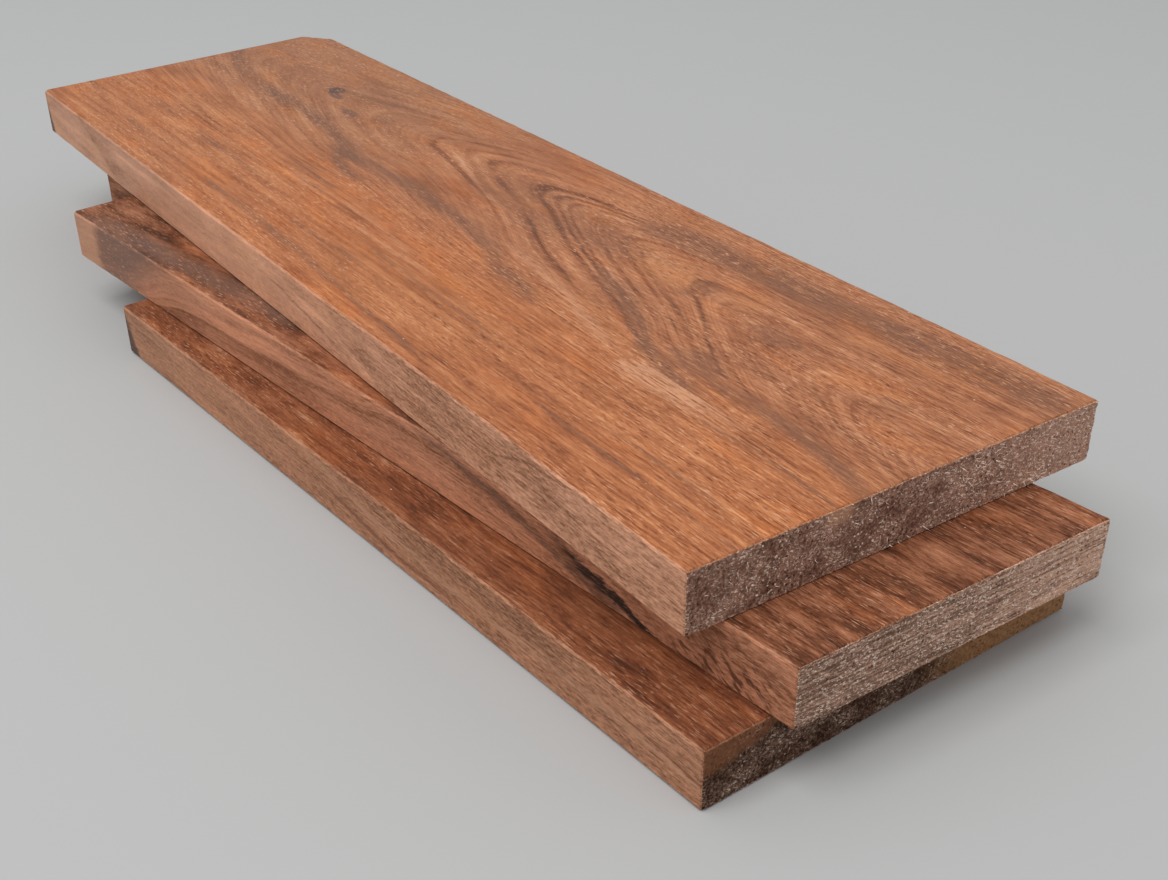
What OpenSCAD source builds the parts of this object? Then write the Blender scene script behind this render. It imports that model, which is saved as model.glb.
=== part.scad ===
// Three planed hardwood boards stacked flat, fanned a little out of line with one another.
// Millimetres. X runs along the bottom board towards the end in view, Y runs across it to the back, Z is up.
// The origin is the middle of the bottom board's underside.
// Lengths are taken along a board's front edge. A skew is how far an end is out of square: a positive one
// leaves the back edge longer than the front edge.

/* [All boards] */
// Thickness that the boards were planed to
board_t = 22; // [12:0.5:60]
// Radius of the eased long edges
edge_r = 0.8; // [0.3:0.1:3]

/* [Top board] */
// Length along the front edge
top_len = 514; // [300:1:1500]
// Width
top_w = 161; // [90:1:300]
// Skew of the near end, degrees
top_near_skew = 2; // [-12:0.5:12]
// Skew of the far end, degrees
top_far_skew = 4.25; // [-12:0.25:12]
// Turn away from the bottom board, degrees
top_turn = -4; // [-15:0.5:15]
// Shift of its middle along the bottom board
top_shift_x = -90; // [-150:1:150]
// Shift of its middle across the bottom board
top_shift_y = 31.5; // [-60:0.5:60]
// Knocked-off far back corner, measured along the board
chip_len = 16; // [4:1:40]
// Knocked-off far back corner, measured across the board
chip_w = 12; // [4:1:40]

/* [Middle board] */
// Length along the front edge, with the notch left uncut
middle_len = 475; // [300:1:1500]
// Width
middle_w = 122; // [90:1:300]
// Skew of the near end, degrees
middle_near_skew = 8; // [-12:0.5:12]
// Skew of the far end, degrees
middle_far_skew = 0; // [-12:0.5:12]
// Turn away from the bottom board, degrees
middle_turn = 2; // [-15:0.5:15]
// Shift of its middle along the bottom board
middle_shift_x = -51; // [-150:1:150]
// Shift of its middle across the bottom board
middle_shift_y = 0.5; // [-60:0.5:60]
// Notch in the far front corner, measured along the board
notch_len = 47; // [10:1:120]
// Notch in the far front corner, measured across the board
notch_w = 38; // [10:1:60]

/* [Bottom board] */
// Length along the front edge
bottom_len = 357; // [250:1:1500]
// Width
bottom_w = 151; // [90:1:300]
// Skew of the near end, degrees
bottom_near_skew = 4; // [-12:0.5:12]
// Skew of the far end, degrees
bottom_far_skew = 0; // [-12:0.5:12]

/* [Hidden] */
// How far a cut runs past the wood that it takes away
overrun = 5;
// Height of each board's underside in the stack
middle_z = board_t;
top_z = middle_z + board_t;
// Smoothness of the eased edges
$fn = 48;

// Distance from a board's middle to the cut line of an end, at a place y across the board
function end_reach(length, width, skew, y) = length / 2 + (y + width / 2) * tan(skew);

// Planed bar along X, standing on Z = 0, with its four long edges eased
module eased_bar(length, width) {
    flat_w = width - 2 * edge_r;
    flat_t = board_t - 2 * edge_r;
    rotate([90, 0, 90])
        linear_extrude(height = length, center = true)
            translate([0, board_t / 2])
                union() {
                    square([flat_w, board_t], center = true);
                    square([width, flat_t], center = true);
                    for (side = [-1, 1], level = [-1, 1])
                        translate([side * flat_w / 2, level * flat_t / 2])
                            circle(r = edge_r);
                }
}

// Upright prism through the whole thickness, used to trim a board to its plan
module through_prism(outline) {
    translate([0, 0, -overrun])
        linear_extrude(height = board_t + 2 * overrun)
            polygon(outline);
}

// Board crosscut at both ends, each end with its own skew
module sawn_board(length, width, near_skew, far_skew) {
    front = -width / 2 - overrun;
    back = width / 2 + overrun;
    reaches = [
        for (skew = [near_skew, far_skew], y = [front, back])
            end_reach(length, width, skew, y)
    ];
    intersection() {
        eased_bar(2 * (max(reaches) + overrun), width);
        through_prism([
            [end_reach(length, width, near_skew, front), front],
            [end_reach(length, width, near_skew, back), back],
            [-end_reach(length, width, far_skew, back), back],
            [-end_reach(length, width, far_skew, front), front]
        ]);
    }
}

// Wood missing from the top board's far back corner: a triangle that runs past the corner on both sides
module corner_chip() {
    corner_x = -end_reach(top_len, top_w, top_far_skew, top_w / 2);
    slope = chip_w / chip_len;
    past = chip_len + overrun;
    translate([corner_x, top_w / 2])
        through_prism([
            [-overrun, -chip_w - overrun * slope],
            [past, overrun * slope],
            [past, past],
            [-overrun, past]
        ]);
}

// Wood sawn out of the middle board's far front corner
module corner_notch() {
    far_x = -end_reach(middle_len, middle_w, middle_far_skew, middle_w / 2);
    shoulder_x = -middle_len / 2 + notch_len;
    start_x = min(far_x, -middle_len / 2) - overrun;
    translate([start_x, -middle_w / 2 - overrun, -overrun])
        cube([shoulder_x - start_x, notch_w + overrun, board_t + 2 * overrun]);
}

// Longest and widest board, with one far corner knocked off
module top_board() {
    color("peru")
        translate([top_shift_x, top_shift_y, top_z])
            rotate([0, 0, top_turn])
                difference() {
                    sawn_board(top_len, top_w, top_near_skew, top_far_skew);
                    corner_chip();
                }
}

// Narrowest board, notched at its far end
module middle_board() {
    color("sienna")
        translate([middle_shift_x, middle_shift_y, middle_z])
            rotate([0, 0, middle_turn])
                difference() {
                    sawn_board(middle_len, middle_w, middle_near_skew, middle_far_skew);
                    corner_notch();
                }
}

// Shortest board, flat on the ground
module bottom_board() {
    color("rosybrown")
        sawn_board(bottom_len, bottom_w, bottom_near_skew, bottom_far_skew);
}

top_board();
middle_board();
bottom_board();
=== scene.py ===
import math
import random

import bmesh
import bpy
from mathutils import Matrix, Vector


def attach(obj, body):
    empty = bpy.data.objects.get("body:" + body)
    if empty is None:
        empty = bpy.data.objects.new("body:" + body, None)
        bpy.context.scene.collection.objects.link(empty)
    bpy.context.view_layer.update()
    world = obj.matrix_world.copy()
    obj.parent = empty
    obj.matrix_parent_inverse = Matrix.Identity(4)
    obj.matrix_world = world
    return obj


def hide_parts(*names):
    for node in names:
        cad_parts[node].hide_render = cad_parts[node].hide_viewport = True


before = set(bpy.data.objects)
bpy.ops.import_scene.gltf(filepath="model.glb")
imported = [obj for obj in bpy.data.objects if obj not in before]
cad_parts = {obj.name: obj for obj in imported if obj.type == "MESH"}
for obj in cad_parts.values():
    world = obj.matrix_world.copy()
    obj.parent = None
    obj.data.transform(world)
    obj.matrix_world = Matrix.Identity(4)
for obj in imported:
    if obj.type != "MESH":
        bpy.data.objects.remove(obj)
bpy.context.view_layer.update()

bl_info = {
    "name": "Stack of Hardwood Boards",
    "version": (1, 0, 0),
    "blender": (4, 5, 0),
    "location": "3D View > Sidebar > Lumber",
    "description": "Dresses a stack of planed hardwood boards: sawn ends, worn edges and figured grain",
    "category": "Object",
}

PHOTO_SIZE = (1168, 880)
MM = 0.001

# Slot of the sawn wood among a board's materials, after the planed wood
SAWN = 1
# Least cosine between a direction and the normal of a face that counts as facing it
SQUARE = 0.9
# Farthest from a cut that a face still counts as lying on it
ON_CUT = 0.1 * MM
# Distance within which points along a cut are one
SEAM = 0.01 * MM
FLOOR_SIZE = 30.0
FLOOR_DROP = 0.1 * MM
TORN_SEED = 11
NEAR_CRISPNESS = 1.5

# Tints that multiply the colour of the wood
WARMED = (1.10, 0.98, 0.80)
COOLED = (0.90, 0.92, 0.96)
FRONT_WARMED = (1.10, 0.99, 0.82)
FAR_GREYED = (0.98, 1.045, 1.11)
FAR_BACK_COOLED = (0.94, 0.985, 1.0)
PORE_SHADE = (0.40, 0.28, 0.24)
PIT_SHADE = (0.28, 0.21, 0.18)

# Colours that cover the wood
DUST = (0.85, 0.70, 0.56)
KNOT = (0.115, 0.066, 0.056)
BLACK_STREAK = (0.02, 0.013, 0.012)
# Dark wedges at the far ends of the front edges of the top and bottom boards
TOP_FAR_WEDGE = (0.06, 0.042, 0.036)
BOTTOM_FAR_WEDGE = (0.06, 0.045, 0.038)


# Properties

def length_prop(name, description, default):
    return bpy.props.FloatProperty(
        name=name, description=description, default=default, min=0.0, unit="LENGTH", precision=5)


def number_prop(name, description, default):
    return bpy.props.FloatProperty(name=name, description=description, default=default)


def angle_prop(name, description, degrees):
    return bpy.props.FloatProperty(
        name=name, description=description, default=math.radians(degrees), subtype="ANGLE")


def colour_prop(name, description, default):
    return bpy.props.FloatVectorProperty(
        name=name, description=description, default=default, size=3, min=0.0, max=1.0, subtype="COLOR")


def point_prop(name, description, default):
    return bpy.props.FloatVectorProperty(
        name=name, description=description, default=default, size=3, subtype="TRANSLATION", unit="LENGTH")


class LumberShape(bpy.types.PropertyGroup):
    """How finely the boards are modelled and how rough the saw and the handling left them"""

    edge_radius: length_prop("Edge radius", "Radius of the eased long edges", 0.8 * MM)
    edge_wear: length_prop("Edge wear", "Deepest dent along a long edge", 0.55 * MM)
    end_relief: length_prop("End relief", "Depth of the saw's tearing on the crosscut ends", 0.7 * MM)
    rim_relief: length_prop("Rim relief", "Depth of the chips round the crosscut ends", 0.8 * MM)
    mesh_step: length_prop("Mesh step", "Spacing of the mesh across a board", 1.0 * MM)
    mesh_stride: length_prop("Mesh stride", "Spacing of the mesh along a board", 5.0 * MM)
    end_zone: length_prop("End zone", "Length at each end that is meshed more finely", 6.0 * MM)
    break_relief: length_prop("Break relief", "Roughness of a broken corner", 2.2 * MM)
    sliver_length: length_prop("Sliver length", "Longest sliver of torn fibre on an end", 2.3 * MM)
    sliver_radius: length_prop("Sliver radius", "Thickest sliver of torn fibre at its root", 0.26 * MM)


class TopBoardLook(bpy.types.PropertyGroup):
    """Colours of the top board"""

    pale: colour_prop("Pale wood", "Palest streaks", (0.665, 0.34, 0.195))
    light: colour_prop("Light wood", "Pale bands of the growth rings", (0.515, 0.217, 0.103))
    middle: colour_prop("Middle wood", "Most of the planed face", (0.412, 0.158, 0.074))
    shade: colour_prop("Shaded wood", "Cooler brown of the dark bands", (0.30, 0.106, 0.048))
    dark: colour_prop("Dark wood", "Darkest lines of the growth rings", (0.155, 0.056, 0.028))
    dusky: colour_prop("Dusky wood", "Purple-brown bands and blotches", (0.235, 0.102, 0.058))
    orange: colour_prop("Orange wood", "Warm patches between the rings", (0.52, 0.215, 0.085))
    edge: colour_prop("Edge wood", "Paler long edges", (0.545, 0.268, 0.161))
    end_dark: colour_prop("Dark end grain", "Hollows of the crosscut ends", (0.17, 0.083, 0.057))
    end: colour_prop("End grain", "Most of the crosscut ends", (0.36, 0.194, 0.136))
    end_light: colour_prop("Torn fibres", "Fibre ends that the saw tore up", (0.90, 0.72, 0.59))
    far_crispness: number_prop("Far crispness", "How clear the fibres are at the far end", 0.5)


class MiddleBoardLook(bpy.types.PropertyGroup):
    """Colours of the middle board"""

    pale: colour_prop("Pale wood", "Palest streaks", (0.56, 0.29, 0.175))
    light: colour_prop("Light wood", "Pale bands of the growth rings", (0.42, 0.17, 0.086))
    middle: colour_prop("Middle wood", "Most of the planed face", (0.315, 0.118, 0.058))
    shade: colour_prop("Shaded wood", "Cooler brown of the dark bands", (0.178, 0.060, 0.027))
    dark: colour_prop("Dark wood", "Darkest lines of the growth rings", (0.072, 0.024, 0.012))
    edge: colour_prop("Edge wood", "Long edges", (0.45, 0.19, 0.105))
    purple: colour_prop("Purple wood", "Dusky patch on the front edge", (0.215, 0.112, 0.078))
    end_dark: colour_prop("Dark end grain", "Hollows of the crosscut ends", (0.25, 0.135, 0.092))
    end: colour_prop("End grain", "Most of the crosscut ends", (0.43, 0.25, 0.176))
    end_light: colour_prop("Torn fibres", "Fibre ends that the saw tore up", (0.92, 0.75, 0.62))
    far_crispness: number_prop("Far crispness", "How clear the fibres are at the far end", 0.7)


class BottomBoardLook(bpy.types.PropertyGroup):
    """Colours of the bottom board"""

    pale: colour_prop("Pale wood", "Palest streaks", (0.50, 0.26, 0.155))
    light: colour_prop("Light wood", "Pale bands of the growth rings", (0.345, 0.128, 0.058))
    middle: colour_prop("Middle wood", "Most of the planed face", (0.255, 0.082, 0.034))
    shade: colour_prop("Shaded wood", "Cooler brown of the dark bands", (0.16, 0.05, 0.022))
    dark: colour_prop("Dark wood", "Darkest lines of the growth rings", (0.08, 0.028, 0.014))
    edge: colour_prop("Edge wood", "Long edges", (0.385, 0.178, 0.099))
    end_dark: colour_prop("Dark end grain", "Hollows of the crosscut ends", (0.048, 0.021, 0.011))
    end: colour_prop("End grain", "Most of the crosscut ends", (0.158, 0.088, 0.060))
    end_light: colour_prop("Torn fibres", "Fibre ends that the saw tore up", (0.66, 0.50, 0.40))
    # Partly the wood of a rounded rim at the top of the ends, partly painted light on that rim
    end_lit_rim: colour_prop("Brown end grain", "Ragged orange-brown strip of the ends", (0.225, 0.088, 0.042))
    end_olive: colour_prop("Olive end grain", "Lighter wood towards the back of the ends", (0.40, 0.20, 0.09))
    far_crispness: number_prop("Far crispness", "How clear the fibres are at the far end", 1.0)


class LumberStage(bpy.types.PropertyGroup):
    """Floor, light and camera"""

    floor_colour: colour_prop("Floor", "Plain pale floor", (0.485, 0.485, 0.48))
    sky_colour: colour_prop("Sky", "Even light from all round", (0.955, 0.973, 0.985))
    sky_strength: number_prop("Sky strength", "Level of the even light", 0.62)
    key_power: bpy.props.FloatProperty(
        name="Key light", description="Power of the large soft lamp", default=36.0, unit="POWER")
    key_size: length_prop("Key size", "Side of the large soft lamp", 1.6)
    key_place: point_prop("Key place", "Where the large soft lamp hangs", (0.1, -1.05, 2.3))
    eye: point_prop("Eye", "Where the camera stands", (0.37665, -0.27871, 0.28626))
    azimuth: angle_prop("Azimuth", "Which way the camera looks, turned from +Y", 50.509)
    elevation: angle_prop("Elevation", "How far the camera looks down", 30.851)
    roll: angle_prop("Roll", "How far the camera leans", -0.531)
    focal_pixels: number_prop("Focal length", "Focal length in pixels of the photograph's width", 1441.9)


# Boards as the frame has them

class Plank:
    """One board of the frame, in its own axes: X to its near end, Y across to its back, Z up.
    They start at the near front corner of its underside."""

    def __init__(self, node):
        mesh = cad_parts[node].data
        upright = [p for p in mesh.polygons if abs(p.normal.z) < 0.01 and p.area > 5 * MM * MM]
        self.across = self._widest_facing(upright)
        self.along = Vector((self.across.y, -self.across.x, 0.0))
        points = [v.co for v in mesh.vertices]
        near = max(upright, key=lambda p: (p.normal.dot(self.along) > SQUARE) * p.area)
        front = min(p.dot(self.across) for p in points)
        floor = min(p.z for p in points)
        reach = near.normal.dot(near.center) - front * near.normal.dot(self.across)
        self.corner = self.along * (reach / near.normal.dot(self.along)) + self.across * front
        self.corner.z = floor
        self.turn = math.atan2(self.along.y, self.along.x)
        local = [self.local(p) for p in points]
        self.low = Vector(min(p[i] for p in local) for i in range(3))
        self.high = Vector(max(p[i] for p in local) for i in range(3))
        self.cuts, self.recess = self._cut_planes(upright, local)

    def _widest_facing(self, upright):
        """Unit normal of the back edge: the upright direction with the most area."""
        facings = {}
        for p in upright:
            key = (round(abs(p.normal.x), 2), round(p.normal.x * p.normal.y, 2))
            facings.setdefault(key, []).append(p)
        widest = max(facings.values(), key=lambda group: sum(p.area for p in group))
        normal = max(widest, key=lambda p: p.area).normal.copy()
        normal.z = 0.0
        return normal.normalized() * math.copysign(1.0, normal.y)

    def local(self, point):
        offset = point - self.corner
        return Vector((offset.dot(self.along), offset.dot(self.across), offset.z))

    def _cut_planes(self, upright, local):
        """Sawn upright faces other than the long edges, as (normal, point): those that bound the whole board,
        and those inside its outline."""
        cuts, recess = {}, {}
        for p in upright:
            normal = Vector((p.normal.dot(self.along), p.normal.dot(self.across), 0.0)).normalized()
            point = self.local(p.center)
            reach = normal.dot(point)
            inside = max(normal.dot(q) for q in local) - reach > 0.2 * MM
            if abs(normal.y) > 0.98 and not inside:
                continue
            key = (round(normal.x, 1), round(normal.y, 1), round(reach, 3))
            (recess if inside else cuts).setdefault(key, (normal, point))
        return list(cuts.values()), list(recess.values())

    def ends(self):
        return [plane for plane in self.cuts if abs(plane[0].x) > SQUARE]

    def broken(self):
        return [plane for plane in self.cuts if abs(plane[0].x) <= SQUARE]


# Modelling

def select(piece, kind, test):
    """Selects, in edit mode, the vertices, edges or faces that the test picks out."""
    bpy.ops.mesh.select_mode(type=kind)
    bpy.ops.mesh.select_all(action="DESELECT")
    shape = bmesh.from_edit_mesh(piece.data)
    shape.normal_update()
    for item in {"VERT": shape.verts, "EDGE": shape.edges, "FACE": shape.faces}[kind]:
        if test(item):
            item.select_set(True)
    shape.select_flush_mode()
    bmesh.update_edit_mesh(piece.data)


def heading(edge):
    """Index of the axis that an edge runs along most."""
    span = edge.verts[1].co - edge.verts[0].co
    return max(range(3), key=lambda i: abs(span[i]))


def mark_sawn(piece, test):
    """Gives the sawn wood, in edit mode, to the faces that the test picks out."""
    select(piece, "FACE", test)
    piece.active_material_index = SAWN
    bpy.ops.object.material_slot_assign()


def group_points(piece, name, test):
    """Makes a vertex group, in edit mode, of the vertices that the test picks out."""
    select(piece, "VERT", test)
    bpy.ops.object.vertex_group_assign_new()
    piece.vertex_groups[-1].name = name


def pick(piece, others=()):
    """Selects a piece, with others, and makes it the active one."""
    bpy.ops.object.select_all(action="DESELECT")
    for item in (piece, *others):
        item.select_set(True)
    bpy.context.view_layer.objects.active = piece


def settle(piece):
    """Works the place, turn and scale of the selected piece into its mesh."""
    bpy.ops.object.transform_apply(location=True, rotation=True, scale=True)
    return piece


def roughen(piece, group, relief, grain_size, depth=2, direction="NORMAL"):
    """Sinks the vertices of a group into the wood by up to the relief, in cloudy patches of a size."""
    cloud = bpy.data.textures.new(f"{piece.name} {group}", type="CLOUDS")
    cloud.noise_scale = grain_size
    cloud.noise_depth = depth
    dents = piece.modifiers.new(group, "DISPLACE")
    dents.texture = cloud
    dents.texture_coords = "LOCAL"
    dents.vertex_group = group
    dents.direction = direction
    dents.strength = relief
    dents.mid_level = 1.0
    bpy.ops.object.modifier_apply(modifier=dents.name)


def cut_away(piece, cutter):
    """Takes the cutter's shape out of a piece, removes the cutter and cleans the mesh along the cut."""
    pick(piece)
    cut = piece.modifiers.new("cut", "BOOLEAN")
    cut.operation = "DIFFERENCE"
    cut.solver = "EXACT"
    cut.object = cutter
    bpy.ops.object.modifier_apply(modifier=cut.name)
    bpy.data.objects.remove(cutter)
    bpy.ops.object.mode_set(mode="EDIT")
    bpy.ops.mesh.select_all(action="SELECT")
    bpy.ops.mesh.remove_doubles(threshold=SEAM)
    select(piece, "FACE", lambda f: len(f.verts) > 4)
    bpy.ops.mesh.quads_convert_to_tris()
    bpy.ops.mesh.select_all(action="SELECT")
    bpy.ops.mesh.dissolve_degenerate(threshold=SEAM)
    select(piece, "FACE", lambda f: any(e.is_boundary for e in f.edges))
    bpy.ops.mesh.delete(type="FACE")
    bpy.ops.object.mode_set(mode="OBJECT")


def new_block(name, low, high):
    """A cube from one corner to the other, as a start."""
    bpy.ops.object.select_all(action="DESELECT")
    bpy.ops.mesh.primitive_cube_add(size=1.0, location=(low + high) / 2)
    block = bpy.context.object
    block.name = name
    block.data.name = name
    block.scale = high - low
    return settle(block)


def crosscut_blank(name, plank, shape):
    """Sawn blank, meshed finely enough to be roughened, with its long edges eased."""
    spare = Vector((10 * MM, 0.0, 0.0))
    blank = new_block(name, plank.low - spare, plank.high + spare)
    bpy.ops.object.mode_set(mode="EDIT")
    for normal, point in plank.ends():
        bpy.ops.mesh.select_all(action="SELECT")
        bpy.ops.mesh.bisect(plane_co=point, plane_no=normal, use_fill=True, clear_outer=True)
    for normal, point in plank.ends():
        bpy.ops.mesh.select_all(action="SELECT")
        bpy.ops.mesh.bisect(plane_co=point - normal * shape.end_zone, plane_no=normal)
    size = plank.high - plank.low
    short = 2 * shape.end_zone
    meshing = (
        (0, 0.0, short, round(shape.end_zone / shape.mesh_step)),
        (0, short, math.inf, round(size.x / shape.mesh_stride) + 1),
        (1, 0.0, math.inf, round(size.y / shape.mesh_step)),
        (2, 0.0, math.inf, round(size.z / shape.mesh_step)),
    )
    for axis, shortest, longest, parts in meshing:
        select(blank, "EDGE", lambda e: heading(e) == axis and shortest < e.calc_length() < longest)
        bpy.ops.mesh.subdivide(number_cuts=parts - 1)
    select(blank, "EDGE", lambda e: heading(e) == 0 and e.calc_face_angle(0.0) > 1.0)
    bpy.ops.mesh.bevel(offset=shape.edge_radius, segments=3, profile=0.5)
    bpy.ops.object.mode_set(mode="OBJECT")
    return blank


def roughen_ends(blank, plank, shape):
    """Tears the crosscut faces, chips their rims and dents the long edges."""
    ends = plank.ends()

    def on_end(point):
        return any(abs(normal.dot(point - place)) < ON_CUT for normal, place in ends)

    def on_rim(vertex):
        return on_end(vertex.co) and any(not on_end(f.calc_center_median()) for f in vertex.link_faces)

    def on_arris(vertex):
        slanted = [f for f in vertex.link_faces if 0.15 < abs(f.normal.z) < 0.98 and abs(f.normal.x) < 0.5]
        return bool(slanted) and not on_end(vertex.co)

    bpy.ops.object.mode_set(mode="EDIT")
    mark_sawn(blank, lambda f: on_end(f.calc_center_median()))
    bpy.ops.mesh.subdivide(number_cuts=1)
    group_points(blank, "sawn ends", lambda v: on_end(v.co))
    group_points(blank, "end rims", on_rim)
    group_points(blank, "long edges", on_arris)
    bpy.ops.object.mode_set(mode="OBJECT")
    roughen(blank, "sawn ends", shape.end_relief, 0.9 * MM)
    roughen(blank, "end rims", shape.rim_relief, 2.0 * MM)
    roughen(blank, "long edges", shape.edge_wear, 7.0 * MM, depth=4)


def break_corners(blank, plank, shape):
    """Knocks off each corner that the frame's board has lost, with a torn face."""
    reach, spare = 30 * MM, 8 * MM
    for normal, point in plank.broken():
        size = Vector((reach, reach, plank.high.z - plank.low.z + spare))
        block = new_block("broken corner", -size / 2, size / 2)
        bpy.ops.object.mode_set(mode="EDIT")
        bpy.ops.mesh.select_all(action="SELECT")
        bpy.ops.mesh.subdivide(number_cuts=30)
        group_points(block, "torn", lambda v: v.co.x < SEAM - reach / 2)
        bpy.ops.object.mode_set(mode="OBJECT")
        roughen(block, "torn", -shape.break_relief, 3.0 * MM, depth=3, direction="X")
        block.rotation_euler.z = math.atan2(normal.y, normal.x)
        block.location = point + normal * (reach / 2 - shape.break_relief)
        block.location.z = (plank.high.z + plank.low.z) / 2
        cut_away(blank, settle(block))
        bpy.ops.object.mode_set(mode="EDIT")
        mark_sawn(blank, lambda f: torn_face(f, plank, normal, point, shape.break_relief))
        bpy.ops.object.mode_set(mode="OBJECT")


def torn_face(face, plank, normal, point, relief):
    """Whether a face is part of the tear behind a plane, and not of the board's outside."""
    middle = face.calc_center_median()
    depth = normal.dot(point - middle)
    inside = plank.high.y - middle.y > ON_CUT
    return inside and face.normal.dot(normal) > 0.3 and -ON_CUT < depth < 1.1 * relief


def cut_notch(blank, plank):
    """Saws out the corner that the frame's board lacks inside its outline."""
    if not plank.recess:
        return
    spare = 5 * MM
    shoulder = min(point.x for normal, point in plank.recess if abs(normal.x) > SQUARE)
    depth = max(point.y for normal, point in plank.recess if abs(normal.y) > SQUARE)
    low = Vector((plank.low.x - spare, plank.low.y - spare, plank.low.z - spare))
    high = Vector((shoulder, depth, plank.high.z + spare))

    def on_shoulder(face):
        return face.normal.x < -SQUARE and abs(face.calc_center_median().x - shoulder) < ON_CUT

    cut_away(blank, new_block("notch", low, high))
    bpy.ops.object.mode_set(mode="EDIT")
    mark_sawn(blank, on_shoulder)
    bpy.ops.object.mode_set(mode="OBJECT")


def add_slivers(blank, plank, shape, tufts, colour):
    """Stands slivers of torn fibre on the near end, in tufts of (y, z, wide, tall, count) in millimetres."""
    if not tufts:
        return
    chance = random.Random(TORN_SEED)
    normal, point = max(plank.ends(), key=lambda plane: plane[0].x)
    margin = 0.3 * MM
    low, high = plank.low.z + margin, plank.high.z - margin
    slivers = []
    for y, z, wide, tall, count in tufts:
        for _ in range(count):
            across = (y + wide * chance.uniform(-1, 1)) * MM
            up = min(max((z + tall * chance.uniform(-1, 1)) * MM, low), high)
            out = point.x - (across - point.y) * normal.y / normal.x
            root = Vector((out, across, up)) - normal * shape.end_relief
            lean = Vector((chance.uniform(0.5, 1.0), chance.uniform(-0.9, 0.9), chance.uniform(-0.9, 0.9)))
            tip = root + lean * shape.sliver_length * chance.uniform(0.5, 1.0)
            tip.z = min(max(tip.z, low), high)
            bpy.ops.mesh.primitive_cone_add(
                vertices=3, radius1=shape.sliver_radius * chance.uniform(0.5, 1.0), radius2=0.0,
                depth=(tip - root).length, location=(root + tip) / 2,
                rotation=(tip - root).to_track_quat("Z", "Y").to_euler())
            slivers.append(bpy.context.object)
    fibre = plain_material(f"{blank.name} torn fibre", colour, roughness=0.7, gloss=0.5)
    for sliver in slivers:
        sliver.data.materials.append(fibre)
    pick(blank, slivers)
    bpy.ops.object.join()


def finish_board(blank, plank, node):
    """Sets a board in its place in the stack and ties it to the frame."""
    pick(blank)
    blank.rotation_euler.z = plank.turn
    blank.location = plank.corner
    settle(blank)
    bpy.ops.object.shade_smooth_by_angle(angle=math.radians(35))
    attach(blank, "root")
    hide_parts(node)


# Shading

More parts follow.
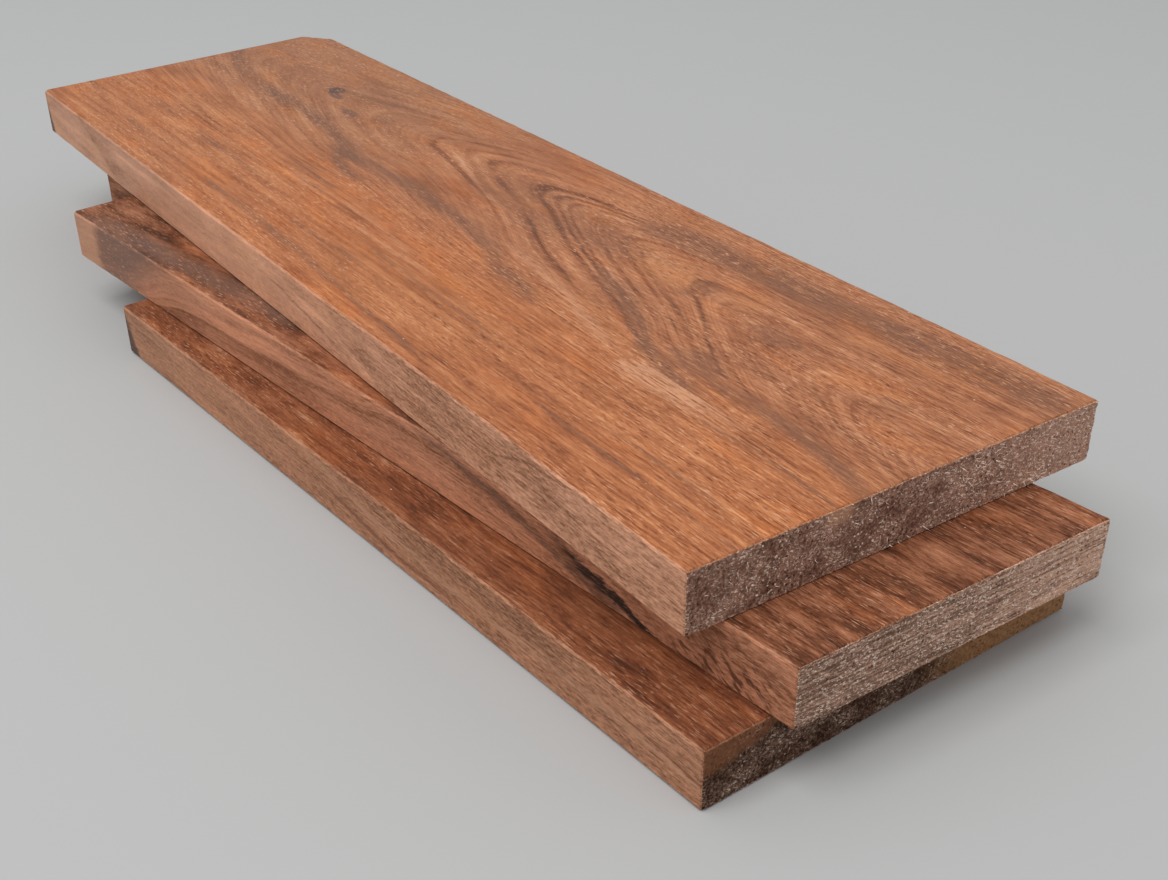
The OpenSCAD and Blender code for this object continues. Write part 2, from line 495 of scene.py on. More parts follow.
class Wire:
    """One socket of a material's nodes. Arithmetic on it adds Math nodes."""

    def __init__(self, tree, socket=None):
        self.tree = tree
        self.socket = socket

    def node(self, kind, settings=None, inputs=None, output=0):
        """Adds a node, sets it up, fills its sockets and gives one of its outputs, or a list of several."""
        made = self.tree.nodes.new(kind)
        for name, value in (settings or {}).items():
            if name == "curve":
                self._bend(made.mapping, value)
            elif name == "stops":
                self._stops(made.color_ramp.elements, value)
            else:
                setattr(made, name, value)
        for name, value in (inputs or {}).items():
            if isinstance(value, Wire):
                self.tree.links.new(value.socket, made.inputs[name])
            else:
                made.inputs[name].default_value = value
        if isinstance(output, tuple):
            return [Wire(self.tree, made.outputs[name]) for name in output]
        return Wire(self.tree, made.outputs[output]) if made.outputs else None

    def _bend(self, mapping, places):
        """Lays a curve node's line through places from 0 to 1."""
        line = mapping.curves[0]
        mapping.extend = "HORIZONTAL"
        for place in places[1:-1]:
            line.points.new(*place)
        line.points[0].location = places[0]
        line.points[len(line.points) - 1].location = places[-1]
        mapping.update()

    def _stops(self, elements, stops):
        """Sets a colour ramp's stops, given as (position, colour)."""
        while len(elements) < len(stops):
            elements.new(1.0)
        for element, (position, colour) in zip(elements, stops):
            element.position = position
            element.color = (*colour, 1.0)

    def math(self, operation, first, second=0.0):
        return self.node("ShaderNodeMath", {"operation": operation}, {0: first, 1: second})

    def __add__(self, other):
        return self.math("ADD", self, other)

    __radd__ = __add__

    def __sub__(self, other):
        return self.math("SUBTRACT", self, other)

    def __rsub__(self, other):
        return self.math("SUBTRACT", other, self)

    def __mul__(self, other):
        return self.math("MULTIPLY", self, other)

    __rmul__ = __mul__

    def __truediv__(self, other):
        return self.math("DIVIDE", self, other)

    def __pow__(self, other):
        return self.math("POWER", self, other)

    def __abs__(self):
        return self.math("ABSOLUTE", self)

    def lower(self, other):
        return self.math("MINIMUM", self, other)

    def higher(self, other):
        return self.math("MAXIMUM", self, other)

    def held(self, high):
        """Kept from 0 to high."""
        return self.lower(high).higher(0.0)

    def between(self, low, high):
        """Rises smoothly from 0 at low to 1 at high."""
        return self.node(
            "ShaderNodeMapRange", {"interpolation_type": "SMOOTHSTEP"},
            {"Value": self, "From Min": low, "From Max": high})

    def curve(self, places):
        """A smooth line through (this value, result) places, level beyond the first and last."""
        across = [place[0] for place in places]
        up = [place[1] for place in places]
        left, wide = across[0], across[-1] - across[0]
        low, tall = min(up), max(up) - min(up)
        even = [((a - left) / wide, (b - low) / tall) for a, b in places]
        bent = self.node("ShaderNodeFloatCurve", {"curve": even}, {"Value": (self - left) / wide})
        return bent * tall + low

    def ramp(self, stops):
        """Colours by this value."""
        return self.node("ShaderNodeValToRGB", {"stops": stops}, {"Fac": self})

    def axes(self):
        return self.node("ShaderNodeSeparateXYZ", None, {0: self}, (0, 1, 2))

    def stretched(self, x, y, z):
        return self.node("ShaderNodeVectorMath", {"operation": "MULTIPLY"}, {0: self, 1: (x, y, z)})

    def noise(self, detail=2.0, roughness=0.5, output=0, curl=0.0):
        """Cloudy noise on a vector."""
        return self.node(
            "ShaderNodeTexNoise", {"noise_dimensions": "3D"},
            {"Vector": self, "Scale": 1.0, "Detail": detail, "Roughness": roughness, "Distortion": curl},
            output)

    def line_noise(self, length, detail=2.0, roughness=0.5):
        """Noise along one value, for bands of a length that follow it: from -0.5 to 0.5."""
        return self.node(
            "ShaderNodeTexNoise", {"noise_dimensions": "1D"},
            {"W": self, "Scale": 1 / length, "Detail": detail, "Roughness": roughness}) - 0.5

    def cells(self, size):
        """Distance from the heart of the nearest cell of a size, in cells, and a chance for each cell."""
        away, colour = self.node(
            "ShaderNodeTexVoronoi", {"feature": "F1"}, {"Vector": self, "Scale": 1 / size}, (0, 1))
        return away, colour.axes()[0]

    def tinted(self, colour, factor):
        """This colour multiplied by another."""
        return self.blend(colour, factor, "MULTIPLY")

    def blend(self, colour, factor, mode="MIX"):
        """This colour mixed with another."""
        other = colour if isinstance(colour, Wire) else (*colour, 1.0)
        return self.node(
            "ShaderNodeMix", {"data_type": "RGBA", "blend_type": mode},
            {0: factor, 6: self, 7: other}, 2)


def gap(value, low, high, soft):
    """1 where a value lies from low to high, fading over a soft margin."""
    return value.between(low - soft, low + soft) * (1 - value.between(high - soft, high + soft))


def oval(first, second):
    """1 where two values are near 0, fading out over an oval that ends 1 away."""
    return 1 - (first * first + second * second).between(0.2, 1.0)


def summed(marks):
    """Several marks together, at most 1."""
    total = 0.0
    for mark in marks:
        total = mark + total
    return total.lower(1.0)


def scaled(colour, factor, warm=1.0):
    """A colour made darker or paler, and warmer where green is held back and blue twice as much."""
    return tuple(min(1.0, part * factor * warm ** i) for i, part in enumerate(colour))


class Grain:
    """Places and patterns in one board's own wood, in millimetres from its near front corner."""

    def __init__(self, tree, plank):
        start = Wire(tree).node("ShaderNodeTexCoord", output="Object")
        turn_back = Matrix.Rotation(-plank.turn, 3, "Z")
        scale = 1 / MM
        self.place = start.node(
            "ShaderNodeMapping", {"vector_type": "POINT"},
            {"Vector": start, "Location": -(turn_back @ plank.corner) * scale,
             "Rotation": (0.0, 0.0, -plank.turn), "Scale": (scale, scale, scale)})
        self.x, self.y, self.z = self.place.axes()
        self.width = plank.high.y / MM
        self.thickness = plank.high.z / MM
        self.wobble = self.cloud(16, 9, 9) * 2.4

    def cloud(self, x, y, z, detail=2.0, roughness=0.5):
        """Cloudy noise of a size along each axis: from -0.5 to 0.5."""
        return self.place.stretched(1 / x, 1 / y, 1 / z).noise(detail, roughness) - 0.5

    def at(self, x, y, z):
        """A vector of three values."""
        return self.x.node("ShaderNodeCombineXYZ", None, {0: x, 1: y, 2: z})

    def sway(self, along, across):
        """Slow wandering of the grain: three values from -0.5 to 0.5."""
        place = self.place.stretched(1 / along, 1 / across, 1 / across)
        return [value - 0.5 for value in place.noise(2.0, 0.55, output=1).axes()]

    def edge_distance(self):
        """Millimetres in from the nearer long edge face."""
        return self.y.lower(self.width - self.y)

    def face_distance(self):
        """Millimetres in from the nearer wide face."""
        return self.z.lower(self.thickness - self.z)

    def spot(self, x, y, long, wide):
        """1 at a place on the wide faces, fading out over an oval."""
        return oval((self.x - x) / long, (self.y - y) / wide)

    def end_spot(self, y, z, wide, tall):
        """1 at a place on the ends, fading out over an oval."""
        return oval((self.y - y) / wide, (self.z - z) / tall)

    def vein(self, places, wide, level=None):
        """1 on a line through (x, y) places, fading out over a width. The level stands in for y."""
        level = self.y if level is None else level
        away = abs(level + self.wobble - self.x.curve(places))
        ends = gap(self.x, places[0][0], places[-1][0], 10.0)
        return (1 - (away / wide).between(0.1, 1.0)) * ends

    def veins(self, lines, level=None):
        """Several veins together, each with its places, width and strength."""
        return summed(self.vein(places, wide, level) * strength for places, wide, strength in lines)

    def spots(self, ovals):
        """Several spots together, each with its x, y, length, width and strength."""
        return summed(self.spot(x, y, long, wide) * strength for x, y, long, wide, strength in ovals)

    def hairs(self, lean, long, wide):
        """Short bright strokes over the ends that lean by a slope: high on a stroke."""
        along = (self.y + self.z * lean) / long
        across = (self.z - self.y * lean) / wide
        return self.at(lean * 5, along, across).noise(2.0, 0.6, curl=0.35)


def arch_field(grain):
    """Growth rings of a flat-sawn face: nested arches that point to the far end, beside straight grain."""
    arched = grain.y.between(36, 76)
    sway_x, sway_y, _ = grain.sway(80, 30)
    x = grain.x + sway_x * 9
    y = grain.y + (sway_y * 4 + grain.wobble * 0.5) * (arched * 0.75 + 0.25)
    heart = x.curve((
        (-530, 116), (-420, 118), (-330, 121), (-286, 126), (-240, 125), (-200, 121), (-150, 118),
        (-100, 109), (-62, 102), (10, 90)))
    blunt = x.curve(((-530, 18), (-360, 16), (-290, 9), (-170, 10), (-100, 9), (10, 14)))
    blunt = blunt * arched + 14 * (1 - arched)
    off = y - (heart * arched + 119 * (1 - arched))
    arch = (off * off + blunt * blunt) ** 0.5 - blunt
    crowd = off.higher(0.0) ** 3 * x.curve(((-530, 0.0005), (-150, 0.0007), (-50, 0.0001), (10, 0.0001)))
    flow = (x + 282) * 0.25 * arched - 58 * (1 - arched)
    return arch + crowd - flow + (grain.z - grain.thickness) * 0.6


def edge_wave_field(grain, crest, fade):
    """Growth rings that run level through a board but rise and fall along its front edge.
    The crest is how high one ring stands at each x, and the wave fades out behind the front edge."""
    sway_x, sway_y, sway_z = grain.sway(90, 34)
    lift = (grain.x + sway_x * 20).curve(crest) * fade / (grain.y + fade)
    return grain.z + sway_z * 5 + grain.wobble * 0.6 - lift + (grain.y + sway_y * 14) * 0.75


def middle_field(grain):
    crest = ((-480, -16), (-400, -9), (-367, -1), (-340, 6), (-280, 11), (-207, 14), (-163, 18),
             (-113, 14), (-80, 5), (-53, -3), (0, -14))
    return edge_wave_field(grain, crest, 45.0)


def bottom_field(grain):
    crest = ((-360, 16), (-240, 12), (-180, 9), (-137, 3), (-100, 2), (0, 0))
    return edge_wave_field(grain, crest, 60.0)


class Planed:
    """What the saw and the plane laid open on a board's long sides, for the paint functions."""

    def __init__(self, grain, field, far_crispness):
        self.field = field
        self.bands = field.line_noise(3.2, 3.0, 0.6)
        self.patches = grain.cloud(110, 24, 24, 3.0, 0.6)
        self.blotches = grain.cloud(30, 9, 9, 3.0, 0.6)
        crisp = grain.x.between(-330, -60) * (NEAR_CRISPNESS - far_crispness) + far_crispness
        self.fibres = grain.cloud(12, 0.75, 0.75, 3.0, 0.7) * crisp
        self.fuzz = grain.cloud(3.4, 0.9, 0.9, 3.0, 0.8) * crisp
        soft = grain.at(grain.x / 50, field / 4.5, 11.0).noise(3.0, 0.6) - 0.5
        streaks = grain.at(grain.x / 80, field / 1.3, 3.0).noise(3.0, 0.65) - 0.5
        broad = self.bands * 0.35 + self.patches * 0.5
        self.figure = broad + soft * (1.2 - crisp * 0.25) + streaks * (crisp * 0.35 + 0.35)
        self.detail = self.figure + self.blotches * 0.5 + self.fibres * 0.95 + self.fuzz * 0.5
        self.rows = grain.cloud(4.2, 0.5, 0.5, 1.0)
        pores = self.rows.between(0.12, 0.18) * (self.patches - self.bands).between(-0.15, 0.2)
        self.pores = pores * crisp.lower(1.0)
        self.flecks = (1 - self.rows.between(-0.19, -0.12)) * self.patches.between(-0.2, 0.1)
        edge = grain.edge_distance()
        self.on_edge = 1 - edge.between(0.3, 0.9)
        self.on_front = self.on_edge * (1 - grain.y.between(2, 4))
        self.on_arris = 1 - edge.higher(grain.face_distance()).between(0.35, 0.9)


def plain_material(name, colour, roughness, gloss):
    """One even colour."""
    material = bpy.data.materials.new(name)
    material.use_nodes = True
    shader = material.node_tree.nodes["Principled BSDF"]
    shader.inputs["Base Color"].default_value = (*colour, 1.0)
    shader.inputs["Roughness"].default_value = roughness
    shader.inputs["Specular IOR Level"].default_value = gloss
    return material


def new_material(name):
    material = bpy.data.materials.new(name)
    material.use_nodes = True
    material.node_tree.nodes.clear()
    return material


def finish_material(material, paint, roughness, height, relief, gloss):
    """Shades the paint, with a bump of a relief in metres."""
    bump = paint.node("ShaderNodeBump", None, {"Strength": 0.8, "Distance": relief, "Height": height})
    shader = paint.node(
        "ShaderNodeBsdfPrincipled", None,
        {"Base Color": paint, "Roughness": roughness, "Normal": bump, "Specular IOR Level": gloss})
    paint.node("ShaderNodeOutputMaterial", None, {"Surface": shader})
    return material


def planed_wood(name, plank, look, field, paint_sides):
    """The long sides of a board: rings cut through by the faces, pores, and a painted highlight along the
    arrises.
    """
    material = new_material(name)
    grain = Grain(material.node_tree, plank)
    wood = Planed(grain, field(grain), look.far_crispness)
    paint = paint_sides(grain, look, wood)
    warmth = grain.cloud(38, 13, 13, 2.0, 0.6)
    on_face = 1 - wood.on_edge * 0.75
    paint = paint.tinted(WARMED, warmth.between(0.0, 0.2) * on_face * 0.8)
    paint = paint.tinted(COOLED, warmth.between(0.0, -0.2) * on_face * 0.7)
    paint = paint.tinted(FAR_GREYED, grain.x.between(-230, -400))
    # Painted highlight: a broken pale line along the eased arrises, where they catch the light
    arris_highlight = wood.on_arris * grain.cloud(5, 1, 1, 2.0, 0.65).between(-0.02, 0.12)
    paint = paint.blend(look.pale, arris_highlight * 0.6)
    paint = paint.tinted(PORE_SHADE, wood.pores * on_face * 0.8)
    paint = paint.blend(look.pale, wood.flecks * 0.85)
    away, chance = grain.place.cells(8)
    dust = (1 - away.between(0.02, 0.05)) * chance.between(0.45, 0.8)
    paint = paint.blend(DUST, dust * 0.7)
    height = wood.fibres * 0.45 + wood.fuzz * 0.3 - wood.rows.between(0.10, 0.16) * 0.5
    roughness = 0.62 + wood.fibres * 0.14
    return finish_material(material, paint, roughness, height, relief=0.3 * MM, gloss=0.15)


def sawn_wood(name, plank, look, field, paint_end):
    """The crosscut ends: dark hollows and broken fibres that catch the light."""
    material = new_material(name)
    grain = Grain(material.node_tree, plank)
    mottle = grain.cloud(1.0, 1.0, 1.0, 4.0, 0.7)
    clumps = grain.cloud(11, 11, 7, 3.0, 0.6)
    rings = field(grain).line_noise(2.6, 3.0, 0.6)
    hairs = grain.hairs(0.8, 1.7, 0.6).higher(grain.hairs(-0.35, 1.9, 0.6))
    ruffled = grain.place.node(
        "ShaderNodeVectorMath", {"operation": "ADD"},
        {0: grain.place, 1: grain.place.stretched(0.9, 0.9, 0.9).noise(2.0, 0.6, output=1)})
    away, chance = ruffled.cells(1.3)
    sparks = (1 - away.between(0.14, 0.32)) * chance.between(0.58, 0.85)
    pits = (1 - away.between(0.2, 0.42)) * (1 - chance.between(0.14, 0.36))
    tone = mottle * 1.7 + clumps * 0.7 + rings * 0.45 + 0.44
    paint, fluffy = paint_end(grain, look, tone)
    sparks = sparks * (fluffy.lower(0.0) * 6 + 1).higher(0.2)
    fluff = hairs.between(0.585, 0.66) * (clumps + mottle * 0.6 + fluffy).between(-0.18, 0.16)
    paint = paint.blend(look.end_light, (fluff * 0.85 + sparks).lower(0.95))
    paint = paint.tinted(PIT_SHADE, pits * 0.9)
    # Painted highlight: a paler line along the top and bottom rims of the ends
    rim = (1 - grain.face_distance().between(0.4, 1.1)) * mottle.between(-0.12, 0.1)
    paint = paint.blend(look.pale, rim * 0.45)
    height = hairs * 0.6 + mottle * 0.9 + sparks * 0.4
    return finish_material(material, paint, 0.8, height, relief=0.45 * MM, gloss=0.08)


def face_ramp(tone, look):
    return tone.ramp((
        (0.0, look.dark), (0.27, look.shade), (0.52, look.middle), (0.77, look.light), (1.0, look.pale)))


def edge_ramp(tone, look):
    return tone.ramp((
        (0.0, scaled(look.edge, 0.44, 0.88)), (0.30, scaled(look.edge, 0.78, 0.95)), (0.52, look.edge),
        (0.78, scaled(look.edge, 1.22)), (1.0, scaled(look.edge, 1.5))))


def end_ramp(tone, look):
    return tone.ramp((
        (0.0, scaled(look.end_dark, 0.6)), (0.3, look.end_dark), (0.62, look.end),
        (1.0, scaled(look.end, 1.5))))


# Marks of the top board in millimetres of its own axes. A line has its places, width and strength, and a spot
# its x, y, length, width and strength. Lines on the front edge have z in the place of y.

DUSKY_VEINS = (
    (((-522, 109), (-490, 98), (-455, 93), (-400, 91), (-350, 84), (-330, 78)), 7.0, 0.85),
    (((-345, 78), (-322, 69), (-303, 67)), 5.0, 0.75),
    (((-424, 120.5), (-409, 123.5), (-396, 127), (-376, 132)), 4.5, 0.75),
    (((-332, 79), (-285, 81), (-240, 79), (-215, 75), (-190, 66), (-160, 62)), 7.0, 0.85),
    (((-168, 94), (-140, 86), (-120, 77), (-100, 67), (-72, 62)), 6.5, 0.9),
    (((-76, 71), (-45, 72), (-20, 69), (4, 62)), 6.0, 0.75),
    (((-190, 134), (-160, 139), (-130, 141), (-100, 142), (-50, 145), (4, 148)), 12.0, 1.0),
    (((-345, 15), (-300, 14), (-250, 12), (-200, 9), (-150, 6)), 2.4, 0.65),
    (((-519, 40), (-478, 41), (-440, 38)), 1.8, 0.5),
    (((-402, 37), (-370, 36), (-335, 37)), 2.0, 0.55),
    (((-445, 18), (-425, 17), (-403, 19)), 2.2, 0.5),
    (((-522, 26), (-510, 24), (-500, 22)), 1.8, 0.6),
    (((-342, 56), (-320, 55), (-298, 56)), 2.0, 0.5),
    (((-305, 23), (-265, 24), (-225, 26)), 1.8, 0.5),
    (((-242, 37), (-200, 35), (-150, 34)), 1.4, 0.6),
    (((-62, 53), (-30, 54), (4, 51)), 1.4, 0.7),
    (((-72, 27), (-45, 28), (-15, 26)), 1.3, 0.6),
    (((-95, 19), (-50, 18), (4, 17)), 1.6, 0.5),
)
DUSKY_SPOTS = (
    (-131, 113, 8, 11, 0.5), (-88, 76, 17, 10, 0.6), (-88, 109, 17, 7, 0.4), (-400, 131, 26, 9, 0.3),
    (-367, 114, 10, 5, 0.4), (-30, 107, 10, 4, 0.4), (-470, 124, 8, 4, 0.4), (-222, 112, 70, 22, 0.45),
)
DARK_LINES = (
    (((-128, 108), (-110, 97), (-95, 87), (-78, 77)), 1.7, 0.8),
    (((-162, 110), (-140, 102), (-120, 95), (-105, 88)), 1.7, 0.6),
    (((-62, 104), (-55, 96), (-40, 88), (-20, 82), (4, 77)), 1.4, 0.6),
    (((-225, 129), (-214, 133), (-203, 134)), 1.6, 0.6),
)
WARM_VEINS = (
    (((-312, 125), (-300, 119), (-270, 111), (-235, 104)), 2.2, 0.6),
    (((-232, 138), (-200, 146), (-165, 152)), 6.0, 0.5),
    (((-78, 128), (-50, 131), (-22, 133)), 4.0, 0.4),
    (((-170, 84), (-145, 74), (-118, 66)), 5.0, 0.5),
    (((-264, 119), (-248, 116), (-230, 110)), 3.0, 0.5),
)
PALE_VEINS = (
    (((-205, 79), (-170, 75), (-140, 67), (-116, 61)), 4.5, 0.7),
    (((-306, 117), (-280, 109), (-250, 101), (-215, 96)), 1.6, 0.7),
    (((-330, 48), (-280, 49), (-225, 45)), 2.2, 0.5),
    (((-262, 44), (-235, 41), (-205, 42)), 2.0, 0.5),
)
FRONT_CRACKS = (
    (((-114, 12.5), (-104, 11.5), (-96, 12), (-86, 15), (-72, 18.5), (-52, 20.5)), 0.9, 0.8),
    (((-60, 12), (-46, 10.8), (-32, 10)), 0.9, 1.0),
    (((-250, 13.5), (-232, 11.3), (-200, 6.5)), 1.3, 0.7),
)
FRONT_RUBS = (
    (((-170, 15.5), (-150, 12.5), (-130, 11), (-112, 7)), 1.1, 0.9),
    (((-235, 15), (-215, 13.5), (-195, 9.5), (-172, 3)), 1.6, 0.7),
    (((-415, 19), (-395, 16), (-360, 17), (-330, 15)), 2.0, 0.5),
)
WARM_SPOTS = (
    (-195, 28, 85, 27, 0.4), (-148, 112, 20, 10, 0.6), (-172, 120, 9, 10, 0.5), (-113, 118, 12, 8, 0.45),
)

# Tufts of torn fibre on the top board's near end: y, z, width, height and count
TORN_TUFTS = ((111, 13, 10, 6, 40), (131, 3, 9, 2.5, 36), (60, 12, 55, 10, 40), (100, 1.2, 55, 0.6, 10))


def hooked_rings(grain, field):
    """Dark rings that bend round sharply in the middle of the top board, with pale wood between them."""
    hooks = field.curve((
        (-42, 0.0), (-39, 0.02), (-37.2, -0.20), (-35.5, 0.04), (-29, 0.10), (-26, 0.0), (-24.4, -0.20),
        (-23.2, 0.06), (-20.2, 0.10), (-18.9, -0.24), (-17.8, 0.06), (-15.4, 0.14), (-14.3, -0.30),
        (-13.4, 0.08), (-12.5, 0.0), (-11.7, -0.38), (-10.6, 0.12), (-9.9, 0.0), (-8.8, -0.46), (-7.0, -0.03),
        (-3, 0.14), (-0.2, 0.0), (1.0, -0.38), (2.6, -0.05), (8, 0.16), (10.8, 0.02), (12.0, -0.22),
        (13.6, 0.0), (20, 0.0)))
    bold = grain.cloud(26, 11, 11).between(-0.25, 0.15) * 0.9 + 0.3
    return hooks * bold * gap(grain.x, -350, -110, 18) * grain.y.between(60, 98) * grain.y.between(146, 126)


def slanting_shade(grain):
    """Two darker bands that lean across the top board's front edge."""
    lean = grain.x - (grain.thickness - grain.z) * 2.3 + grain.wobble * 2
    near = lean.between(-219, -207) * (1 - lean.between(-190, -60) * 0.7)
    far = lean.between(-472, -462) * (1 - lean.between(-450, -405))
    return near * 0.14 + far * 0.24


def far_dark_wedge(grain, wood, length, lean, solid, clear):
    """Dark wedge at the far end of a front edge: solid up to a leaning border, and clear a little past it."""
    past = (grain.x + length) - (grain.thickness - grain.z) * lean + grain.wobble
    return (1 - past.between(solid, clear)) * wood.on_front * 0.85


def top_sides(grain, look, wood):
    """Arches and straight orange grain, with a knot, a pale streak and dusky veins."""
    detail = wood.detail
    faint = grain.x.between(-330, -430) * grain.y.between(95, 115) * 0.45
    paint = face_ramp(0.51 + hooked_rings(grain, wood.field) + detail - wood.figure * faint, look)
    paint = paint.tinted(FRONT_WARMED, (1 - grain.y.between(52, 86)) * 0.85)
    paint = paint.tinted(FAR_BACK_COOLED, grain.x.between(-260, -400) * grain.y.between(60, 100))
    ragged = (detail + 0.5).between(1.1, 0.15) * 0.75 + 0.2
    warm = grain.veins(WARM_VEINS).higher(grain.spots(WARM_SPOTS))
    paint = paint.blend(look.orange, warm * (1.3 - ragged) * 0.9)
    paint = paint.blend(look.pale, grain.veins(PALE_VEINS) * (detail + 0.45).held(0.7))
    dusky = grain.veins(DUSKY_VEINS).higher(grain.spots(DUSKY_SPOTS))
    paint = paint.blend(look.dusky, (dusky * ragged * 1.25).lower(0.95))
    paint = paint.blend(look.dark, grain.veins(DARK_LINES) * ragged)
    knot = grain.spot(-422.5, 118, 7.0, 5.6) + grain.spot(-415, 114, 8.0, 3.2) * 0.7
    knot = knot + grain.spot(-387, 106.5, 10.0, 3.4) * 0.5
    paint = paint.blend(KNOT, (knot * (0.95 + wood.blotches * 0.9 - detail * 0.45)).held(0.9))
    slant = grain.x + grain.wobble * 4 - (grain.y - 57) * 0.4 + wood.fibres * 16
    top = 1 - (grain.y + grain.wobble * 0.4).between(61.2, 62.4)
    pale = slant.between(-105, -101) * slant.between(-36, -74) * top * grain.y.between(50.5, 55)
    pale = (pale * (detail * 2.2 + wood.fibres + 0.62)).held(0.9)
    paint = paint.blend(scaled(look.pale, 0.97, 0.95), pale)
    edge_tone = 0.53 + wood.figure * 0.7 + wood.patches * 0.5 + wood.fuzz * 1.5 + wood.blotches * 0.8
    edge_tone = edge_tone + wood.fibres + grain.x.between(-170, -260) * 0.08 - slanting_shade(grain)
    edge_tone = edge_tone - grain.veins(FRONT_CRACKS, grain.z) * 0.45
    edge_tone = edge_tone + grain.veins(FRONT_RUBS, grain.z) * 0.25
    paint = paint.blend(edge_ramp(edge_tone, look), wood.on_edge)
    return paint.blend(TOP_FAR_WEDGE, far_dark_wedge(grain, wood, 514.5, 0.33, -2.0, 1.6))


def middle_sides(grain, look, wood):
    """Blotched reddish brown. Its front edge has slanting bands, a dusky patch, a black streak and dashes."""
    detail = wood.detail
    bands = wood.field.line_noise(7.0)
    blotched = 0.36 + wood.figure * 0.75 + wood.blotches * 1.6 + wood.fibres * 0.75 + wood.fuzz * 0.6
    paint = face_ramp(blotched, look)
    # Purple-brown band on the wide faces just behind the front edge, along the top board's edge: partly dark
    # wood, partly painted shade from the top board lying on it
    dusky = grain.vein(((-414, 4), (-380, 6), (-330, 9), (-262, 13)), 9.0)
    paint = paint.blend(scaled(look.purple, 0.85), dusky * (0.85 - detail * 0.8))
    tan = gap(grain.x, -225, -105, 14) * (1 - grain.z.between(8, 13))
    tan = tan + gap(grain.x - grain.z, -345, -275, 10) * grain.z.between(9, 13) * 0.9
    edge_tone = 0.45 + detail * 1.1 + wood.fuzz * 0.9 + bands * 1.3 + tan * 0.21
    paint = paint.blend(edge_ramp(edge_tone, look), wood.on_edge)
    ragged = grain.x + grain.wobble * 4
    purple = ragged.between(-413, -403) * (1 - (ragged - grain.z * 1.4).between(-398, -366))
    paint = paint.blend(look.pale, (1 - ragged.between(-413, -403)) * wood.on_front * 0.55)
    paint = paint.blend(look.purple, purple * wood.on_front * (0.85 - detail * 0.6))
    places = ((-172, 23), (-148, 18.3), (-124, 14.2), (-102, 8.3), (-84, 4.5), (-66, 0))
    soft = grain.vein(places, 3.2, grain.z)
    paint = paint.blend(scaled(look.purple, 0.55), soft * wood.on_front * (0.6 - detail * 0.5))
    height = grain.z + wood.fuzz * 4 + wood.blotches * 5
    places = ((-108, 15), (-95, 12), (-78, 7.5), (-65, 4.2), (-56, 0.5), (-46, -4))
    black = grain.vein(places, 3.3, height)
    black = black * 1.5 * grain.x.between(-112, -74) * (0.85 - wood.fibres * 1.5)
    paint = paint.blend(BLACK_STREAK, black.held(0.96) * wood.on_front)
    slope = 0.72
    slanted = grain.at(0.0, (grain.x - grain.z * slope) / 10.0, (grain.x * slope + grain.z) / 2.8)
    dashes = slanted.noise(2.0, 0.6)
    low = 1 - grain.z.between(5, 17) * 0.7
    flecks = dashes.between(0.49, 0.62) * gap(grain.x, -46, -6, 5) * low * wood.on_front
    return paint.blend(look.dark, flecks * 0.85)


def bottom_sides(grain, look, wood):
    """Blotched reddish brown with a paler front edge, a pale streak along it and dark wood above that."""
    blotched = 0.48 + wood.figure * 0.7 + wood.blotches * 1.3 + wood.fibres * 0.9 + wood.fuzz * 0.6
    paint = face_ramp(blotched, look)
    edge_tone = 0.53 + wood.figure * 0.9 + wood.fuzz * 1.9 + wood.blotches * 0.7 + wood.fibres * 1.1
    edge_tone = edge_tone + grain.x.between(-200, -260) * 0.06
    above = gap(grain.x, -178, -45, 12) * grain.z.between(11, 15)
    paint = paint.blend(edge_ramp(edge_tone - above * 0.12, look), wood.on_edge)
    crest = ((-225, 23), (-180, 16), (-150, 11.5), (-110, 9.5), (-40, 10), (6, 7))
    pale = grain.vein(crest, 2.6, grain.z)
    paint = paint.blend(look.pale, pale * wood.on_front * (0.5 + wood.detail * 0.9).higher(0.0))
    under = grain.vein(((-190, 11), (-165, 7), (-140, 5), (-120, 5.5)), 1.6, grain.z)
    under = under + grain.vein(((-34, 12.5), (-18, 11.5), (-8, 10), (5, 9)), 0.9, grain.z)
    paint = paint.blend(look.shade, under * wood.on_front * 0.6)
    return paint.blend(BOTTOM_FAR_WEDGE, far_dark_wedge(grain, wood, 357.5, 0.5, -2.2, 1.8))


def top_end(grain, look, tone):
    """Paler towards the back, with a pale chip and two tufts of torn fibre. Gives paint and fluffiness."""
    paint = end_ramp(tone + grain.y.between(70, 150) * 0.30, look)
    chip = gap(grain.y + grain.wobble, 49, 58, 2.0) * (grain.z + grain.wobble).between(14, 19)
    paint = paint.blend(look.pale, chip * 0.45)
    tufts = grain.end_spot(111, 13, 12, 6) + grain.end_spot(131, 3, 8, 5)
    return paint, tufts * 0.4 + grain.y.between(70, 150) * 0.22


def middle_end(grain, look, tone):
    """Saw lines along the board's width, paler towards the back. Gives paint and fluffiness."""
    saw = grain.at(0.0, grain.y / 22, (grain.z + grain.wobble * 0.5) / 0.7).noise(3.0, 0.6) - 0.5
    paint = end_ramp(tone * 0.9 - 0.02 + saw * 2.7 + grain.y.between(50, 115) * 0.42, look)
    return paint, saw * 1.2 + grain.end_spot(57, 17, 18, 7) * 0.2 + 0.12


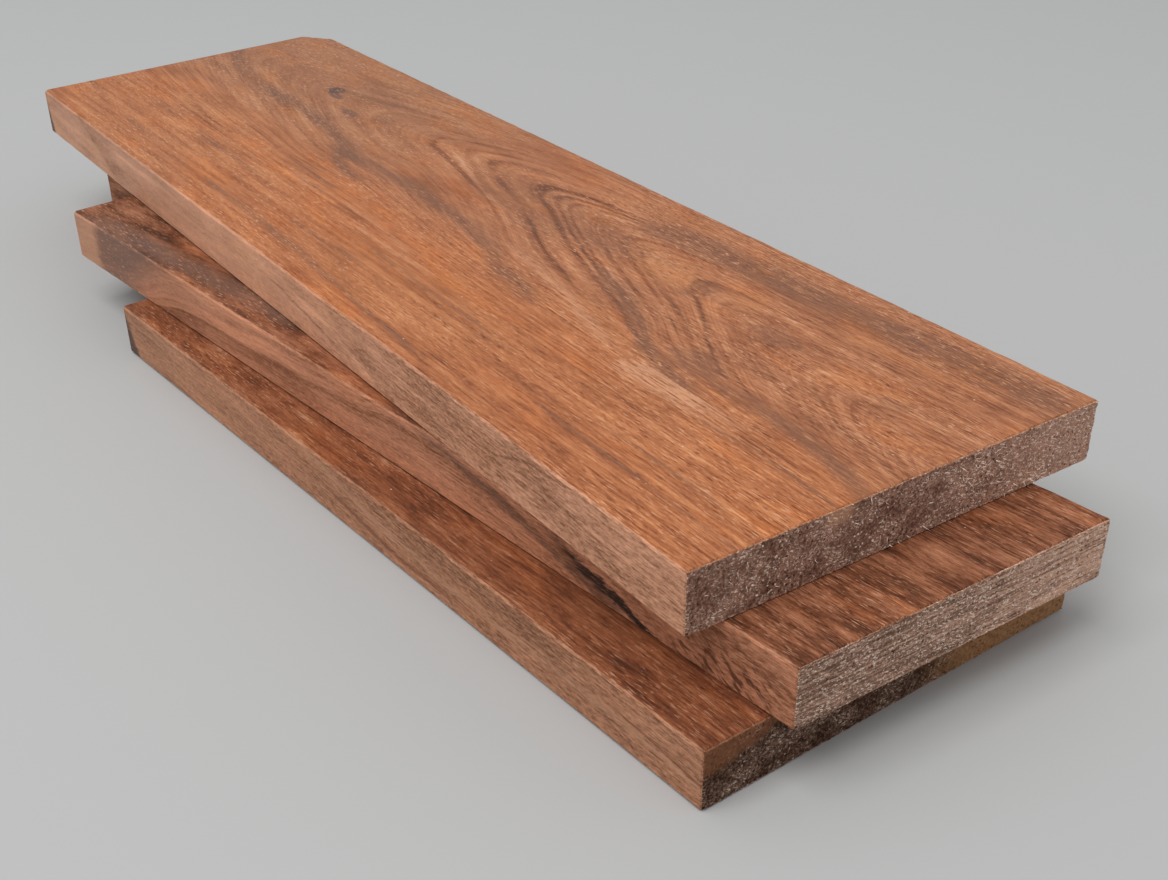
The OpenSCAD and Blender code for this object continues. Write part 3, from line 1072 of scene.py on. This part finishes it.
def bottom_end(grain, look, tone):
    """Dark, with a ragged orange-brown strip at the top of its front, partly the wood of a rounded rim and
    partly painted light on that rim, and orange-brown wood towards its back.
    Gives paint and fluffiness."""
    # Top strip of the front of the end: the orange-brown wood of a rounded rim, and painted light where that
    # rim faces up
    depth = grain.thickness - grain.z + grain.wobble * 3 + grain.cloud(3, 3, 3, 3.0, 0.6) * 5
    strip = 1 - (depth - grain.y.curve(((0, 9), (20, 7), (28, 2), (70, 0.5), (90, 0)))).between(-2.4, 2.0)
    paint = end_ramp(tone, look).blend(look.end_lit_rim, strip * (tone * 0.5 + 0.55).held(0.95))
    back = (grain.y + grain.wobble * 5).between(80, 110)
    paint = paint.blend(look.end_olive, back * (tone * 1.1 + 0.3).held(0.95))
    return paint, strip * -0.12 - back * 0.1 - 0.06


def make_board(name, node, look, field, paint_sides, paint_end, tufts=()):
    """Models and paints one board of the stack."""
    shape = bpy.context.scene.lumber_shape
    plank = Plank(node)
    blank = crosscut_blank(name, plank, shape)
    blank.data.materials.append(planed_wood(f"{name} planed", plank, look, field, paint_sides))
    blank.data.materials.append(sawn_wood(f"{name} sawn", plank, look, field, paint_end))
    roughen_ends(blank, plank, shape)
    break_corners(blank, plank, shape)
    cut_notch(blank, plank)
    add_slivers(blank, plank, shape, tufts, look.end_light)
    finish_board(blank, plank, node)


# Operators

class LUMBER_OT_top_board(bpy.types.Operator):
    """Make the top board, long and wide, with one far corner knocked off"""

    bl_idname = "lumber.top_board"
    bl_label = "Top Board"

    def execute(self, context):
        look = context.scene.lumber_top
        make_board(
            "top_plank", "top_board", look, arch_field, top_sides, top_end, TORN_TUFTS)
        return {"FINISHED"}


class LUMBER_OT_middle_board(bpy.types.Operator):
    """Make the middle board, narrow, with a notch in its far end"""

    bl_idname = "lumber.middle_board"
    bl_label = "Middle Board"

    def execute(self, context):
        look = context.scene.lumber_middle
        make_board(
            "middle_plank", "middle_board", look, middle_field, middle_sides, middle_end)
        return {"FINISHED"}


class LUMBER_OT_bottom_board(bpy.types.Operator):
    """Make the bottom board, short and brown"""

    bl_idname = "lumber.bottom_board"
    bl_label = "Bottom Board"

    def execute(self, context):
        look = context.scene.lumber_bottom
        make_board(
            "bottom_plank", "bottom_board", look, bottom_field, bottom_sides, bottom_end)
        return {"FINISHED"}


class LUMBER_OT_stage(bpy.types.Operator):
    """Lay the floor, hang the light and set up the camera"""

    bl_idname = "lumber.stage"
    bl_label = "Stage"

    def execute(self, context):
        stage = context.scene.lumber_stage
        self.floor(stage)
        self.light(context.scene, stage)
        self.camera(context.scene, stage)
        context.scene.view_settings.view_transform = "Standard"
        return {"FINISHED"}

    def floor(self, stage):
        bpy.ops.object.select_all(action="DESELECT")
        bpy.ops.mesh.primitive_plane_add(size=FLOOR_SIZE, location=(0.0, 0.0, -FLOOR_DROP))
        floor = bpy.context.object
        floor.name = "floor"
        paint = plain_material("pale floor", stage.floor_colour, roughness=0.9, gloss=0.2)
        floor.data.materials.append(paint)

    def light(self, scene, stage):
        world = bpy.data.worlds.new("soft sky")
        world.use_nodes = True
        sky = world.node_tree.nodes["Background"]
        sky.inputs["Color"].default_value = (*stage.sky_colour, 1.0)
        sky.inputs["Strength"].default_value = stage.sky_strength
        scene.world = world
        bpy.ops.object.light_add(type="AREA", location=stage.key_place)
        key = bpy.context.object
        key.name = "key light"
        key.data.energy = stage.key_power
        key.data.size = stage.key_size
        key.rotation_euler = (-Vector(stage.key_place)).to_track_quat("-Z", "Y").to_euler()

    def camera(self, scene, stage):
        look_down = Matrix.Rotation(math.pi / 2 - stage.elevation, 3, "X")
        turned = Matrix.Rotation(stage.azimuth, 3, "Z") @ look_down @ Matrix.Rotation(stage.roll, 3, "Z")
        bpy.ops.object.camera_add(location=stage.eye, rotation=turned.to_euler())
        camera = bpy.context.object
        camera.name = "camera"
        camera.data.sensor_fit = "HORIZONTAL"
        camera.data.sensor_width = 36.0
        camera.data.lens = camera.data.sensor_width * stage.focal_pixels / PHOTO_SIZE[0]
        camera.data.clip_start = 0.01
        scene.camera = camera


class LUMBER_PT_panel(bpy.types.Panel):
    """Boards, stage and their settings"""

    bl_idname = "LUMBER_PT_panel"
    bl_label = "Stack of Hardwood Boards"
    bl_space_type = "VIEW_3D"
    bl_region_type = "UI"
    bl_category = "Lumber"

    def draw(self, context):
        for operator in OPERATORS:
            self.layout.operator(operator.bl_idname)
        for name, group in SETTINGS.items():
            box = self.layout.box()
            box.label(text=group.__doc__)
            for prop in group.__annotations__:
                box.prop(getattr(context.scene, name), prop)


OPERATORS = (LUMBER_OT_bottom_board, LUMBER_OT_middle_board, LUMBER_OT_top_board, LUMBER_OT_stage)
SETTINGS = {
    "lumber_shape": LumberShape,
    "lumber_top": TopBoardLook,
    "lumber_middle": MiddleBoardLook,
    "lumber_bottom": BottomBoardLook,
    "lumber_stage": LumberStage,
}


def register():
    for name, group in SETTINGS.items():
        bpy.utils.register_class(group)
        setattr(bpy.types.Scene, name, bpy.props.PointerProperty(type=group))
    for operator in OPERATORS:
        bpy.utils.register_class(operator)
    bpy.utils.register_class(LUMBER_PT_panel)


def unregister():
    bpy.utils.unregister_class(LUMBER_PT_panel)
    for operator in reversed(OPERATORS):
        bpy.utils.unregister_class(operator)
    for name, group in SETTINGS.items():
        delattr(bpy.types.Scene, name)
        bpy.utils.unregister_class(group)


def main():
    register()
    bpy.ops.lumber.bottom_board()
    bpy.ops.lumber.middle_board()
    bpy.ops.lumber.top_board()
    bpy.ops.lumber.stage()


if __name__ == "__main__":
    main()
